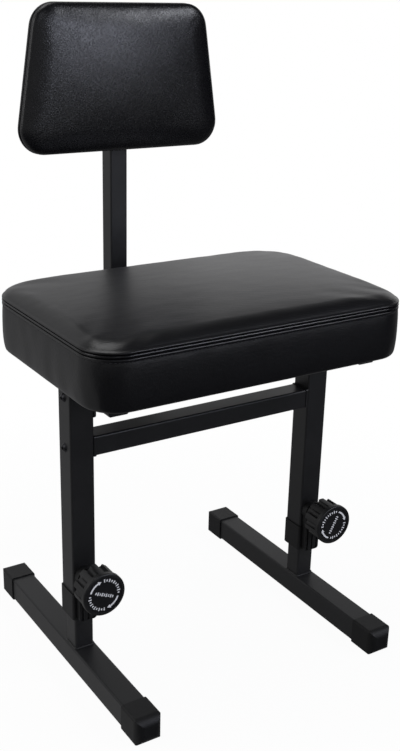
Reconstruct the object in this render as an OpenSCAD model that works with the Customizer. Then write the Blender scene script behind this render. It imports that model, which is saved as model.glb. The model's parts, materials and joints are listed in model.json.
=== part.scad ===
// Adjustable piano bench with a backrest, in millimetres.
// The origin is on the floor, midway between the two feet and at the middle of the bench's depth.
// +X runs along the crossbar, +Z is up and the sitter faces -Y, so the backrest is at +Y.
// Left and right are as seen from the front.

/* [Uprights] */
// Side of each square upright tube
upright_w = 32; // [28:1:36]
// Distance between the centre lines of the uprights
upright_gap = 358; // [320:2:400]
// How far the uprights stand ahead of the middle of the feet
upright_setback = 20; // [10:1:36]
// Wall of the steel tubes
tube_wall = 1.5; // [1.2:0.1:1.8]
// Outside corner radius of the square tubes
tube_round = 2.5; // [2:0.1:3]

/* [Feet] */
// Side of a foot's square tube
foot_w = 32; // [26:1:36]
// Length of a foot over its two end caps
foot_len = 412; // [400:2:460]
// Length of an end cap
cap_len = 41; // [30:1:50]
// Plastic of an end cap outside its tube
cap_skin = 1.8; // [1.5:0.1:2.6]
// Thickness of an end cap's closed end
cap_end = 8; // [7:0.5:10]
// Rounding of an end cap's closed end
cap_round = 11; // [6:0.5:11.5]
// Rounding of an end cap's long edges
cap_edge = 3.2; // [2.5:0.1:4]

/* [Height adjustment] */
// How far the seat is raised above its lowest place
lift_now = 43; // [0:1:125]
// Full travel of the seat, from lowest to highest
lift_range = 130; // [130:1:150]
// Length of inner post that stays inside the upright at full height
grip_len = 90; // [80:1:96]
// Gap between an inner post's glide and the crossbar's screw at the lowest place
head_room = 8; // [4:0.5:12]
// Gap between the collar and the foot at the lowest place
rest_gap = 3; // [1:0.5:6]
// Room between an upright and its inner post, for the liner
liner_room = 1.5; // [1.2:0.1:2]
// Gap between a sliding face and its guide
slide_gap = 0.3; // [0.2:0.05:0.4]
// Height of the head of the glide on top of an inner post
glide_head = 4; // [3:0.5:6]
// Depth that a plug or glide reaches into its tube
plug_depth = 12; // [8:1:16]
// Wall of the hollow plugs
plug_wall = 2; // [1.5:0.25:2.5]
// Gap between a plug and the tube that holds it
plug_gap = 0.1; // [0.05:0.05:0.2]

/* [Collars] */
// Plastic of a collar outside its upright
collar_skin = 1.5; // [1.2:0.1:2]
// Height of a collar
collar_h = 38; // [30:1:45]
// Plastic of a collar under the end of its upright
collar_lip = 3; // [2:0.5:4]
// Corner radius of a collar
collar_round = 3; // [2.5:0.5:4]
// Chamfer round a collar's lower edge
collar_chamfer = 1; // [0.5:0.1:1.2]
// Length of the liner that a collar reaches into its upright
liner_len = 38; // [30:1:42]
// Height of the clamp screw above a collar's lower edge
screw_rise = 62; // [54:1:66]
// Width of the boss on a collar's front
boss_w = 24; // [22:1:26]
// Radius of the boss round the clamp screw
boss_r = 14; // [13:0.5:15]
// Plastic of the boss in front of the weld nut
boss_web = 2.5; // [2:0.5:3.5]
// Radius of the boss's lower corners
boss_round = 4; // [2:0.5:6]
// Number of grooves down the front of the boss
groove_count = 3; // [2:1:4]
// Width of a groove on the boss
groove_w = 2.6; // [2:0.1:3]
// Depth of a groove on the boss
groove_t = 1.6; // [1:0.1:2]

/* [Clamp screws and knobs] */
// Diameter of a clamp screw
clamp_d = 10; // [8:1:10]
// Radial clearance of a screw in its thread or bush
thread_gap = 0.05; // [0.02:0.01:0.08]
// Radial clearance of a screw in a plain hole
hole_gap = 0.4; // [0.3:0.1:0.6]
// Width across the flats of a weld nut
weld_nut_af = 17; // [16:0.5:18]
// Height of a weld nut
weld_nut_h = 7; // [6:0.5:8]
// Gap between a clamp screw's tip and the inner post
tip_gap = 0.2; // [0.1:0.1:0.6]
// Diameter of a knob over its front rim
knob_d = 57; // [50:1:60]
// Thickness of a knob's front rim
knob_rim_t = 7.5; // [6:0.5:10]
// Rounding of a knob's front rim
knob_rim_round = 2; // [1:0.5:3]
// Length of a knob's gripping lobes behind its rim
lobe_len = 24; // [20:1:28]
// Diameter of a knob over its lobes
lobe_d = 54; // [46:1:55]
// Number of lobes on a knob
lobe_count = 10; // [8:1:12]
// Radius of the flute between two lobes
flute_r = 4.5; // [3.6:0.1:4.8]
// Length of a knob's hub behind its lobes
hub_len = 13; // [10:0.5:16]
// Radius of a knob's hub at its back face
hub_r = 13; // [12:0.5:15]
// Gap between a knob's hub and the boss when clamped
knob_gap = 1; // [0.6:0.1:2]
// Outer radius of the metal bush in a knob
bush_r = 8; // [7:0.5:9]
// Length of the metal bush in a knob
bush_len = 26; // [20:1:30]
// Width of a knob's front rim round its flat disc
disc_rim = 4; // [3:0.5:6]
// Thickness of the disc in a knob's front
disc_t = 1.2; // [1:0.1:1.6]
// How deep the disc lies below a knob's rim
disc_sink = 0.8; // [0.4:0.1:1.2]

/* [Crossbar] */
// Depth of the crossbar's tube, front to back
crossbar_d = 30; // [24:1:30]
// Height of the crossbar's tube
crossbar_h = 26; // [20:1:28]
// Distance from the top of the uprights down to the crossbar's middle
crossbar_drop = 75; // [65:1:78]
// Thickness of the flange at each end of the crossbar
flange_t = 3; // [2:0.5:4]
// How far the flange stands out round the crossbar
flange_rim = 1; // [0.5:0.5:1]

/* [Screws] */
// Diameter of the small screws
screw_d = 6; // [5:0.5:6]
// Diameter of a small screw's domed head
head_d = 12; // [11:0.5:13]
// Height of a small screw's domed head
head_h = 3.6; // [3:0.2:4]
// Width across the flats of a small screw's socket
socket_af = 4; // [3.5:0.5:4.5]
// Depth of a small screw's socket
socket_t = 2; // [1.6:0.2:2.4]
// Width across the flats of a small nut
nut_af = 10; // [9:0.5:11]
// Height of a small nut
nut_h = 5; // [4:0.5:6]
// Diameter of the screws that hold the backrest's arm
arm_screw_d = 8; // [7:0.5:8]
// Diameter of an arm screw's head
arm_head_d = 15; // [14:0.5:16]
// Height of an arm screw's head
arm_head_h = 4.4; // [4:0.2:5]
// Thickness of the flange of a tee nut
tee_flange_t = 1.2; // [1:0.1:1.6]
// Wall of a tee nut's barrel
tee_wall = 1.2; // [1:0.1:1.4]
// Radius by which a tee nut's flange stands out past its barrel
tee_rim = 5; // [4:0.5:6]

/* [Seat rails and brackets] */
// Width of a seat rail's tube
rail_w = 25; // [24:1:28]
// Height of a seat rail's tube
rail_h = 15; // [14:1:20]
// Length of a seat rail
rail_len = 214; // [196:2:240]
// Thickness of a bracket's plate
bracket_t = 3; // [2:0.5:4]
// Length of a bracket's leg down the upright
bracket_leg = 38; // [30:1:42]
// Distance from the top of an upright down to the bracket's screw
bracket_drop = 10; // [9:0.5:16]
// Corner radius of a bracket's lower end
bracket_round = 5; // [3:0.5:6]
// Thickness of the head of a rail's end plug
plug_head = 2; // [1.5:0.5:3]
// Distance from a rail's end to its screw
rail_screw_inset = 26; // [22:1:40]

/* [Seat] */
// How far the seat reaches past the middle of an upright at each side
seat_side_over = 42.5; // [36:0.5:46]
// How far the seat reaches past a rail's end at the front and at the back
seat_end_over = 40; // [32:1:44]
// Distance of the seat's middle behind the uprights
seat_shift = 7; // [0:1:12]
// Plan radius of the seat's front corners
seat_round_front = 44; // [36:1:50]
// Plan radius of the seat's back corners
seat_round_back = 54; // [42:1:64]
// Height of the seat's side up to its welt
seat_side_h = 65; // [58:1:70]
// Height of the top panel's shoulder above the welt
seat_shoulder_h = 16; // [12:1:22]
// Width of the top panel's shoulder
seat_shoulder_w = 24; // [20:1:28]
// Rise of the seat's crown above its shoulder
seat_crown = 7; // [4:1:12]
// Radius of the welt round the seat and the backrest
welt_r = 2; // [1.5:0.25:2.5]
// Thickness of the cover with its lining
cover_t = 2.4; // [2:0.1:3]
// Gap between the foam and its cover
skin_gap = 0.3; // [0.2:0.1:0.4]
// Thickness of the cover's hem under a board
hem_t = 1.5; // [1:0.1:2]
// Gap between the hem under the seat board and the rails' screw holes
hem_clear = 6.6; // [5:0.2:8]
// Thickness of the seat's plywood board
seat_board_t = 12; // [10:1:15]
// Distance of a board's edge inside the outside of its cover
board_inset = 7; // [6.5:0.5:8]

/* [Backrest] */
// Side of the square tubes of the backrest's arm and post
post_w = 26; // [24:1:28]
// Distance from the middle of the uprights back to the middle of the backrest's post
post_setback = 236; // [220:1:250]
// Distance from the middle of the uprights forward to the arm's front end
arm_reach = 58; // [50:1:64]
// Distance of the arm's front screw from the arm's front end
arm_screw_inset = 22; // [18:1:26]
// Distance between the arm's two screws
arm_screw_pitch = 120; // [100:2:130]
// Width of the pad at its lower edge
pad_w_low = 306; // [280:2:320]
// Width of the pad at its upper edge
pad_w_top = 247; // [232:1:264]
// Height of the pad
pad_h = 189; // [180:1:210]
// Height of the pad's lower edge above the seat's underside
pad_rise = 222; // [214:1:250]
// Corner radius of the pad
pad_round = 33; // [30:1:40]
// Thickness of the pad's side band
pad_band = 12; // [11:0.5:15]
// Width of the rounded shoulder round the pad's front
pad_shoulder_w = 17; // [14:1:20]
// Depth of the rounded shoulder round the pad's front
pad_shoulder_t = 13; // [10:0.5:15]
// Rise of the pad's crown in front of its shoulder
pad_crown = 6; // [4:1:8]
// Thickness of the pad's plywood board
pad_board_t = 9; // [8:0.5:10]
// Width of the cover's hem behind the pad's board
pad_hem_w = 24; // [20:1:28]
// Distance between the two screws that hold the pad
pad_screw_pitch = 80; // [70:2:90]
// How far the post reaches above the upper pad screw
post_over = 26; // [20:1:30]

/* [Hidden] */
$fn = 48;

// Overrun of every cut past the face that it opens
cut = 1;

steel = "#1d1d20";
plastic = "#151517";
leatherette = "#1f2024";
foam = "#d9cfa8";
plywood = "#b88f5a";
zinc = "#8f9296";
fabric = "#18181a";

// Sizes that follow from others
seat_w = upright_gap + 2 * seat_side_over;
seat_d = rail_len + 2 * seat_end_over;
seat_hem_w = seat_side_over - hem_clear - screw_d / 2 - hole_gap;
disc_d = knob_d - 2 * disc_rim;
inner_len = rest_gap + lift_range + grip_len;
upright_len = inner_len + glide_head + head_room + screw_d / 2 + crossbar_drop - rest_gap - collar_lip;

// Heights, from the floor up
foot_z = cap_skin + foot_w / 2;
foot_top = cap_skin + foot_w;
collar_z = foot_top + rest_gap + lift_now;
upright_z = collar_z + collar_lip;
upright_top = upright_z + upright_len;
screw_z = collar_z + screw_rise;
crossbar_z = upright_top - crossbar_drop;
bracket_z = upright_top - bracket_drop;
rail_z = upright_top + bracket_t;
seat_z = rail_z + rail_h;
board_z = seat_z + hem_t;
arm_z = seat_z - post_w;
pad_z = seat_z + pad_rise;

// Places across and along the bench
side_x = upright_gap / 2;
rear_reach = post_setback - upright_setback + post_w / 2 + head_h;
foot_y = (foot_len / 2 - rear_reach) / 2;
upright_y = foot_y - upright_setback;
seat_y = upright_y + seat_shift;
upright_bore = upright_w - 2 * tube_wall;
inner_w = upright_bore - 2 * liner_room;
inner_face = inner_w / 2;
front_face = upright_w / 2;
cap_w = foot_w + 2 * cap_skin;

post_y = upright_y + post_setback;
pad_back = post_y - post_w / 2;
pad_screw_z = pad_z + (pad_h - pad_screw_pitch) / 2;
post_top = pad_screw_z + pad_screw_pitch + post_over;
arm_front = upright_y - arm_reach;

// Places along the axis of a clamp screw, forward of the middle of its upright
boss_face = front_face + weld_nut_h + boss_web;
hub_back = boss_face + knob_gap;
lobe_back = hub_back + hub_len;
rim_back = lobe_back + lobe_len;
knob_face = rim_back + knob_rim_t;
disc_back = knob_face - disc_sink - disc_t;
clamp_r = clamp_d / 2;
clamp_tip = inner_face + tip_gap;
clamp_end = hub_back + bush_len;

// Small parts
screw_r = screw_d / 2;
arm_screw_r = arm_screw_d / 2;
hex = 6;
to_corner = 1 / cos(180 / hex);

// Shapes of the cushions: points on a corner, and rings across a crown
corner_steps = 8;
crown_scale_shares = [0.84, 0.62, 0.36];
shoulder_angles = [22, 48, 72, 90];

// Shared outlines and solids

// A rectangle with round corners
module round_rect(w, h, r) {
    square([w - 2 * r, h], center = true);
    square([w, h - 2 * r], center = true);
    for (sx = [-1, 1])
        for (sy = [-1, 1])
            translate([sx * (w / 2 - r), sy * (h / 2 - r)])
                circle(r);
}

// The section of a rectangular tube
module tube_section(w, h) {
    difference() {
        round_rect(w, h, tube_round);
        round_rect(w - 2 * tube_wall, h - 2 * tube_wall, tube_round - tube_wall);
    }
}

// Draws a section, whose x and y become X and Z, from one place along Y to another
module along_y(from_y, to_y) {
    translate([0, to_y, 0])
        rotate([90, 0, 0])
            linear_extrude(to_y - from_y)
                children();
}

// Draws a section, whose x and y become Y and Z, from one place along X to another
module along_x(from_x, to_x) {
    translate([from_x, 0, 0])
        rotate([90, 0, 90])
            linear_extrude(to_x - from_x)
                children();
}

// A screw that points along +Z, with its domed socket head below the origin
module domed_screw(r, len, head_w, head_t) {
    cylinder(r = r, h = len);
    dome_r = (head_w * head_w / 4 + head_t * head_t) / (2 * head_t);
    difference() {
        intersection() {
            translate([0, 0, dome_r - head_t])
                sphere(dome_r);
            translate([0, 0, -head_t])
                cylinder(d = head_w, h = head_t);
        }
        translate([0, 0, -head_t - cut])
            cylinder(d = socket_af * to_corner, h = socket_t + cut, $fn = hex);
    }
}

// A nut on the origin, with its thread as a bore
module plain_nut(af, h, r) {
    difference() {
        cylinder(d = af * to_corner, h = h, $fn = hex);
        translate([0, 0, -cut])
            cylinder(r = r + thread_gap, h = h + 2 * cut);
    }
}

// A tee nut whose flange has its upper face at the origin and whose barrel points down
module tee_nut(r, len) {
    difference() {
        union() {
            translate([0, 0, -tee_flange_t])
                cylinder(r = r + tee_wall + tee_rim, h = tee_flange_t);
            translate([0, 0, -len])
                cylinder(r = r + tee_wall, h = len);
        }
        translate([0, 0, -len - cut])
            cylinder(r = r + thread_gap, h = len + 2 * cut);
    }
}

// The hole that a tee nut fills
module tee_seat(r, len) {
    translate([0, 0, -tee_flange_t])
        cylinder(r = r + tee_wall + tee_rim, h = tee_flange_t + cut);
    translate([0, 0, -len - cut])
        cylinder(r = r + tee_wall, h = len + cut);
}

// A hollow plug: a head outside a tube's end and a spigot inside it, pointing down from the origin
module tube_plug(w, h, head_t) {
    linear_extrude(head_t)
        round_rect(w, h, tube_round);
    spigot_w = w - 2 * tube_wall - 2 * plug_gap;
    spigot_h = h - 2 * tube_wall - 2 * plug_gap;
    spigot_r = tube_round - tube_wall;
    translate([0, 0, -plug_depth])
        linear_extrude(plug_depth)
            difference() {
                round_rect(spigot_w, spigot_h, spigot_r);
                round_rect(spigot_w - 2 * plug_wall, spigot_h - 2 * plug_wall, spigot_r / 2);
            }
}

// Feet: a tube with two end caps, and an inner post with a glide on top

module foot_tube(side) {
    color(steel)
        translate([side * side_x, foot_y, foot_z])
            along_y(-foot_len / 2 + cap_end, foot_len / 2 - cap_end)
                tube_section(foot_w, foot_w);
}

// The closed end points along +Y, and end is -1 for the front cap
module foot_cap(side, end) {
    color(plastic)
        translate([side * side_x, foot_y, foot_z])
            scale([1, end, 1])
                translate([0, foot_len / 2, 0]) {
                    difference() {
                        intersection() {
                            along_y(-cap_len, 0)
                                round_rect(cap_w, cap_w, cap_edge);
                            translate([0, -cap_len, -cap_w / 2])
                                linear_extrude(cap_w)
                                    round_rect(cap_w, 2 * cap_len, cap_round);
                            translate([0, -cap_len, 0])
                                along_x(-cap_w / 2, cap_w / 2)
                                    round_rect(2 * cap_len, cap_w, cap_round);
                        }
                        along_y(-cap_len - cut, -cap_end)
                            round_rect(foot_w, foot_w, tube_round);
                    }
                    translate([0, -cap_end, 0])
                        rotate([-90, 0, 0])
                            tube_plug(foot_w, foot_w, cap_skin / 2);
                }
}

module inner_post(side) {
    color(steel)
        translate([side * side_x, upright_y, foot_top])
            linear_extrude(inner_len)
                tube_section(inner_w, inner_w);
}

module glide(side) {
    head_w = upright_bore - 2 * slide_gap;
    head_r = tube_round - tube_wall / 2;
    color(plastic)
        translate([side * side_x, upright_y, foot_top + inner_len]) {
            tube_plug(inner_w, inner_w, glide_head / 2);
            linear_extrude(glide_head)
                round_rect(head_w, head_w, head_r);
        }
}

// Seat frame: uprights with their collars

module upright(side) {
    color(steel)
        translate([side * side_x, upright_y, 0])
            difference() {
                translate([0, 0, upright_z])
                    linear_extrude(upright_len)
                        tube_section(upright_w, upright_w);
                translate([0, 0, screw_z])
                    rotate([90, 0, 0])
                        cylinder(r = clamp_r + hole_gap, h = upright_w);
                for (z = [crossbar_z, bracket_z])
                    translate([-upright_w, 0, z])
                        rotate([0, 90, 0])
                            cylinder(r = screw_r + hole_gap, h = 2 * upright_w);
            }
}

// The sleeve round the lower end of an upright, its liner, and the boss that holds the clamp screw
module collar(side) {
    outer = upright_w + 2 * collar_skin;
    lower = outer - 2 * collar_chamfer;
    groove_pitch = boss_w / groove_count;
    liner_w = upright_bore - 2 * plug_gap;
    bore_w = inner_w + 2 * slide_gap;
    bore_r = tube_round - tube_wall / 2;
    color(plastic)
        translate([side * side_x, upright_y, collar_z])
            difference() {
                union() {
                    // the chamfered lower edge is two steps
                    translate([0, 0, collar_chamfer])
                        linear_extrude(collar_h - collar_chamfer)
                            round_rect(outer, outer, collar_round);
                    linear_extrude(collar_chamfer)
                        round_rect(lower, lower, collar_round - collar_chamfer);
                    boss();
                }
                // the pocket for the upright, which leaves the liner standing
                translate([0, 0, collar_lip])
                    linear_extrude(screw_rise + boss_r + cut)
                        difference() {
                            round_rect(upright_w, upright_w, tube_round);
                            round_rect(liner_w, liner_w, tube_round - tube_wall);
                        }
                translate([0, 0, collar_lip + liner_len])
                    linear_extrude(screw_rise + boss_r + cut)
                        round_rect(upright_w, upright_w, tube_round);
                translate([0, 0, -cut])
                    linear_extrude(screw_rise + boss_r + 2 * cut)
                        round_rect(bore_w, bore_w, bore_r);
                translate([0, 0, screw_rise])
                    rotate([90, 0, 0]) {
                        cylinder(r = clamp_r + hole_gap, h = boss_face + cut);
                        cylinder(d = weld_nut_af * to_corner, h = front_face + weld_nut_h, $fn = hex);
                    }
                for (k = [0 : groove_count - 1])
                    translate([(k + 1 / 2) * groove_pitch - (boss_w + groove_w) / 2,
                               -boss_face - cut, boss_round / 2])
                        cube([groove_w, groove_t + cut, collar_h]);
            }
}

// The boss on a collar's front: a rounded tongue that ends in a half circle round the clamp screw
module boss() {
    translate([0, -boss_face, 0])
        along_y(0, boss_face) {
            translate([0, screw_rise])
                circle(boss_r);
            translate([0, (screw_rise + collar_chamfer) / 2])
                round_rect(boss_w, screw_rise - collar_chamfer, boss_round);
            translate([-boss_w / 2, screw_rise / 2])
                square([boss_w, screw_rise / 2]);
        }
}

module weld_nuts() {
    color(zinc)
        for (side = [-1, 1])
            translate([side * side_x, upright_y - front_face, screw_z])
                rotate([90, 0, 0])
                    plain_nut(weld_nut_af, weld_nut_h, clamp_r);
}

// Seat frame: crossbar

flange_x = side_x - upright_w / 2;
bar_end = flange_x - flange_t;

module crossbar() {
    color(steel)
        translate([0, upright_y, crossbar_z])
            along_x(-bar_end, bar_end)
                tube_section(crossbar_d, crossbar_h);
}

// A flange at each end, with a threaded spigot inside the crossbar
module crossbar_flanges() {
    flange_w = crossbar_d + 2 * flange_rim;
    flange_h = crossbar_h + 2 * flange_rim;
    spigot_w = crossbar_d - 2 * tube_wall - 2 * plug_gap;
    spigot_h = crossbar_h - 2 * tube_wall - 2 * plug_gap;
    color(steel)
        for (side = [-1, 1])
            translate([side * flange_x, upright_y, crossbar_z])
                scale([-side, 1, 1])
                    difference() {
                        union() {
                            along_x(0, flange_t)
                                round_rect(flange_w, flange_h, tube_round);
                            along_x(0, flange_t + plug_depth)
                                round_rect(spigot_w, spigot_h, tube_round - tube_wall);
                        }
                        translate([-cut, 0, 0])
                            rotate([0, 90, 0])
                                cylinder(r = screw_r + thread_gap, h = flange_t + plug_depth + 2 * cut);
                    }
}

// A screw from the outer face of each upright, at the height z
module side_screws(z, len) {
    color(zinc)
        for (side = [-1, 1])
            translate([side * (side_x + upright_w / 2), upright_y, z])
                rotate([0, -side * 90, 0])
                    domed_screw(screw_r, len, head_d, head_h);
}

module crossbar_screws() {
    side_screws(crossbar_z, upright_w + flange_t + plug_depth);
}

// Seat frame: brackets and seat rails

// An angle plate: one leg on the upright's top, the other down its inner face
module bracket(side) {
    leg_low = upright_top - bracket_leg;
    color(steel)
        translate([side * side_x, upright_y, 0])
            scale([-side, 1, 1])
                difference() {
                    union() {
                        translate([-upright_w / 2, -upright_w / 2, upright_top])
                            cube([upright_w + bracket_t, upright_w, bracket_t]);
                        along_x(upright_w / 2, upright_w / 2 + bracket_t) {
                            translate([0, (leg_low + upright_top) / 2])
                                round_rect(upright_w, bracket_leg, bracket_round);
                            translate([-upright_w / 2, upright_top - bracket_leg / 2])
                                square([upright_w, bracket_leg / 2 + bracket_t]);
                        }
                    }
                    translate([0, 0, bracket_z])
                        rotate([0, 90, 0])
                            cylinder(r = screw_r + hole_gap, h = upright_w);
                }
}

module bracket_screws() {
    side_screws(bracket_z, upright_w + bracket_t + nut_h);
}

module bracket_nuts() {
    color(zinc)
        for (side = [-1, 1])
            translate([side * (flange_x - bracket_t), upright_y, bracket_z])
                rotate([0, -side * 90, 0])
                    plain_nut(nut_af, nut_h, screw_r);
}

rail_screw_y = rail_len / 2 - rail_screw_inset;

module seat_rail(side) {
    color(steel)
        translate([side * side_x, upright_y, 0])
            difference() {
                translate([0, 0, rail_z + rail_h / 2])
                    along_y(-rail_len / 2, rail_len / 2)
                        tube_section(rail_w, rail_h);
                for (end = [-1, 1])
                    translate([0, end * rail_screw_y, rail_z - cut])
                        cylinder(r = screw_r + hole_gap, h = rail_h + 2 * cut);
            }
}

module rail_plugs() {
    color(plastic)
        for (side = [-1, 1])
            for (end = [-1, 1])
                translate([side * side_x, upright_y + end * rail_len / 2, rail_z + rail_h / 2])
                    rotate([-end * 90, 0, 0])
                        tube_plug(rail_w, rail_h, plug_head);
}

// Places of the screws that hold the rails to the seat board
module at_rail_screws() {
    for (side = [-1, 1])
        for (end = [-1, 1])
            translate([side * side_x, upright_y + end * rail_screw_y, 0])
                children();
}

// Places of the screws that hold the backrest's arm to the seat board
module at_arm_screws() {
    for (k = [0, 1])
        translate([0, arm_front + arm_screw_inset + k * arm_screw_pitch, 0])
            children();
}

module rail_screws() {
    color(zinc)
        at_rail_screws()
            translate([0, 0, rail_z])
                domed_screw(screw_r, rail_h + hem_t + seat_board_t, head_d, head_h);
}

// Cushions

// An arc of a cushion's outline, whose radius shrinks with the inset
function corner(cx, cy, r, from_a, to_a) =
    [for (k = [0 : corner_steps])
        let (a = from_a + (to_a - from_a) * k / corner_steps)
        [cx + r * cos(a), cy + r * sin(a)]];

// The seat's outline in plan, drawn in by an inset
function seat_outline(inset) =
    let (rf = seat_round_front, rb = seat_round_back, hw = seat_w / 2, hd = seat_d / 2)
    concat(corner(hw - rf, rf - hd, rf - inset, -90, 0),
           corner(hw - rb, hd - rb, rb - inset, 0, 90),
           corner(rb - hw, hd - rb, rb - inset, 90, 180),
           corner(rf - hw, rf - hd, rf - inset, 180, 270));

// The pad's outline seen from the front, a trapezium on its lower edge, drawn in by an inset
function pad_outline(inset) =
    let (r = pad_round, lean = atan((pad_w_low - pad_w_top) / 2 / pad_h),
         low_x = pad_w_low / 2 - r * tan(lean) - r / cos(lean),
         top_x = pad_w_low / 2 - (pad_h - r) * tan(lean) - r / cos(lean))
    concat(corner(low_x, r, r - inset, -90, lean),
           corner(top_x, pad_h - r, r - inset, lean, 90),
           corner(-top_x, pad_h - r, r - inset, 90, 180 - lean),
           corner(-low_x, r, r - inset, 180 - lean, 270));

function raise(points, z) = [for (p = points) [p[0], p[1], z]];
function shrink(points, middle, k) = [for (p = points) middle + k * (p - middle)];

// Triangles between rings of n points each, closed by a middle point below and one above
function ring_faces(n, rings) =
    let (low = n * rings, top = n * rings + 1, last = n * (rings - 1))
    concat(
        [for (i = [0 : n - 1]) [low, i, (i + 1) % n]],
        [for (j = [0 : rings - 2]) for (i = [0 : n - 1])
            [j * n + i, (j + 1) * n + i, (j + 1) * n + (i + 1) % n]],
        [for (j = [0 : rings - 2]) for (i = [0 : n - 1])
            [j * n + i, (j + 1) * n + (i + 1) % n, j * n + (i + 1) % n]],
        [for (i = [0 : n - 1]) [top, last + (i + 1) % n, last + i]]);

// A solid through rings of equal point count, closed at the middle of the first and the last
module lofted(rings, middle, low_z, top_z) {
    n = len(rings[0]);
    points = concat([for (ring = rings) each ring],
                    [[middle[0], middle[1], low_z], [middle[0], middle[1], top_z]]);
    polyhedron(points, ring_faces(n, len(rings)));
}

// Side profile of the seat as insets and heights: rolled lower edge, slight belly,
// drawn-in side under the welt, the welt, and the groove above it
groove_inset = 3 * welt_r / 2;
seat_profile = [[cover_t + welt_r, 0], [welt_r, welt_r / 2], [welt_r / 2, cover_t + welt_r],
                [0, seat_side_h / 2], [welt_r, seat_side_h - 3 * welt_r],
                [groove_inset, seat_side_h - 2 * welt_r], [0, seat_side_h - welt_r / 2],
                [0, seat_side_h + welt_r / 2], [groove_inset, seat_side_h + groove_inset]];

// The seat cushion's solid, drawn in by a skin all round
module seat_form(skin) {
    base = seat_side_h + groove_inset - skin;
    rise = seat_shoulder_h - groove_inset;
    run = seat_shoulder_w - groove_inset;
    side = [for (p = seat_profile) raise(seat_outline(p[0] + skin), max(p[1], skin > 0 ? hem_t : 0))];
    shoulder = [for (a = shoulder_angles)
        raise(seat_outline(skin + groove_inset + run * (1 - cos(a))), base + rise * sin(a))];
    top = seat_side_h + seat_shoulder_h - skin;
    crown = [for (k = crown_scale_shares)
        raise(shrink(seat_outline(skin + seat_shoulder_w), [0, 0], k), top + seat_crown * (1 - k * k))];
    low = skin > 0 ? hem_t : 0;
    lofted(concat(side, shoulder, crown), [0, 0], low, top + seat_crown);
}

module at_seat() {
    translate([0, seat_y, seat_z])
        children();
}

// A board under the seat's foam, with round corners
module seat_plate(inset, z, t) {
    at_seat()
        translate([0, 0, z])
            linear_extrude(t)
                seat_flat(inset);
}

// The seat's outline as a flat shape with true arcs
module seat_flat(inset) {
    hw = seat_w / 2;
    hd = seat_d / 2;
    rf = seat_round_front;
    rb = seat_round_back;
    for (sx = [-1, 1]) {
        translate([sx * (hw - rf), rf - hd])
            circle(rf - inset);
        translate([sx * (hw - rb), hd - rb])
            circle(rb - inset);
    }
    polygon([[rf - hw, inset - hd], [hw - rf, inset - hd], [hw - inset, rf - hd], [hw - inset, hd - rb],
             [hw - rb, hd - inset], [rb - hw, hd - inset], [inset - hw, hd - rb], [inset - hw, rf - hd]]);
}

module seat_board() {
    color(plywood)
        difference() {
            seat_plate(board_inset, hem_t, seat_board_t);
            at_rail_screws()
                translate([0, 0, board_z + seat_board_t])
                    tee_seat(screw_r, seat_board_t);
            at_arm_screws()
                translate([0, 0, board_z + seat_board_t])
                    tee_seat(arm_screw_r, seat_board_t);
        }
}

module seat_foam() {
    color(foam)
        difference() {
            at_seat()
                seat_form(cover_t + skin_gap);
            at_seat()
                translate([-seat_w, -seat_d, -cut])
                    cube([2 * seat_w, 2 * seat_d, hem_t + seat_board_t + cut]);
        }
}

// The cover: a shell round the foam, whose hem turns in under the board
module seat_cover() {
    color(leatherette)
        difference() {
            at_seat()
                seat_form(0);
            at_seat()
                seat_form(cover_t);
            seat_plate(seat_hem_w, -cut, hem_t + 2 * cut);
        }
}

module seat_underlining() {
    color(fabric)
        difference() {
            seat_plate(seat_hem_w + skin_gap, 0, hem_t);
            translate([0, 0, seat_z - cut]) {
                at_rail_screws()
                    cylinder(r = screw_r + hole_gap, h = hem_t + 2 * cut);
                at_arm_screws()
                    cylinder(r = arm_screw_r + hole_gap, h = hem_t + 2 * cut);
            }
        }
}

module seat_tee_nuts() {
    color(zinc)
        translate([0, 0, board_z + seat_board_t]) {
            at_rail_screws()
                tee_nut(screw_r, seat_board_t - tee_flange_t);
            at_arm_screws()
                tee_nut(arm_screw_r, seat_board_t - tee_flange_t);
        }
}

// Backrest: arm, post and pad

module backrest_arm() {
    color(steel)
        difference() {
            translate([0, 0, arm_z + post_w / 2])
                along_y(arm_front, pad_back)
                    tube_section(post_w, post_w);
            at_arm_screws()
                translate([0, 0, arm_z - cut])
                    cylinder(r = arm_screw_r + hole_gap, h = post_w + 2 * cut);
        }
}

module arm_plug() {
    color(plastic)
        translate([0, arm_front, arm_z + post_w / 2])
            rotate([90, 0, 0])
                tube_plug(post_w, post_w, plug_head);
}

module arm_screws() {
    color(zinc)
        at_arm_screws()
            translate([0, 0, arm_z])
                domed_screw(arm_screw_r, post_w + hem_t + seat_board_t, arm_head_d, arm_head_h);
}

// Places of the two screws that hold the pad, with +Z turned forward
module at_pad_screws(y) {
    for (k = [0, 1])
        translate([0, y, pad_screw_z + k * pad_screw_pitch])
            rotate([90, 0, 0])
                children();
}

module backrest_post() {
    color(steel)
        difference() {
            translate([0, post_y, arm_z])
                linear_extrude(post_top - arm_z)
                    tube_section(post_w, post_w);
            at_pad_screws(post_y + post_w)
                cylinder(r = screw_r + hole_gap, h = 2 * post_w);
        }
}

module post_plugs() {
    color(plastic) {
        translate([0, post_y, post_top])
            tube_plug(post_w, post_w, plug_head);
        translate([0, post_y, arm_z])
            rotate([180, 0, 0])
                tube_plug(post_w, post_w, plug_head);
    }
}

// Side profile of the pad as insets and depths forward of its back
pad_profile = [[cover_t + welt_r, 0], [welt_r / 2, welt_r / 2], [0, cover_t], [0, pad_band - 2 * welt_r],
               [welt_r, pad_band - welt_r], [welt_r / 4, pad_band]];

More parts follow.
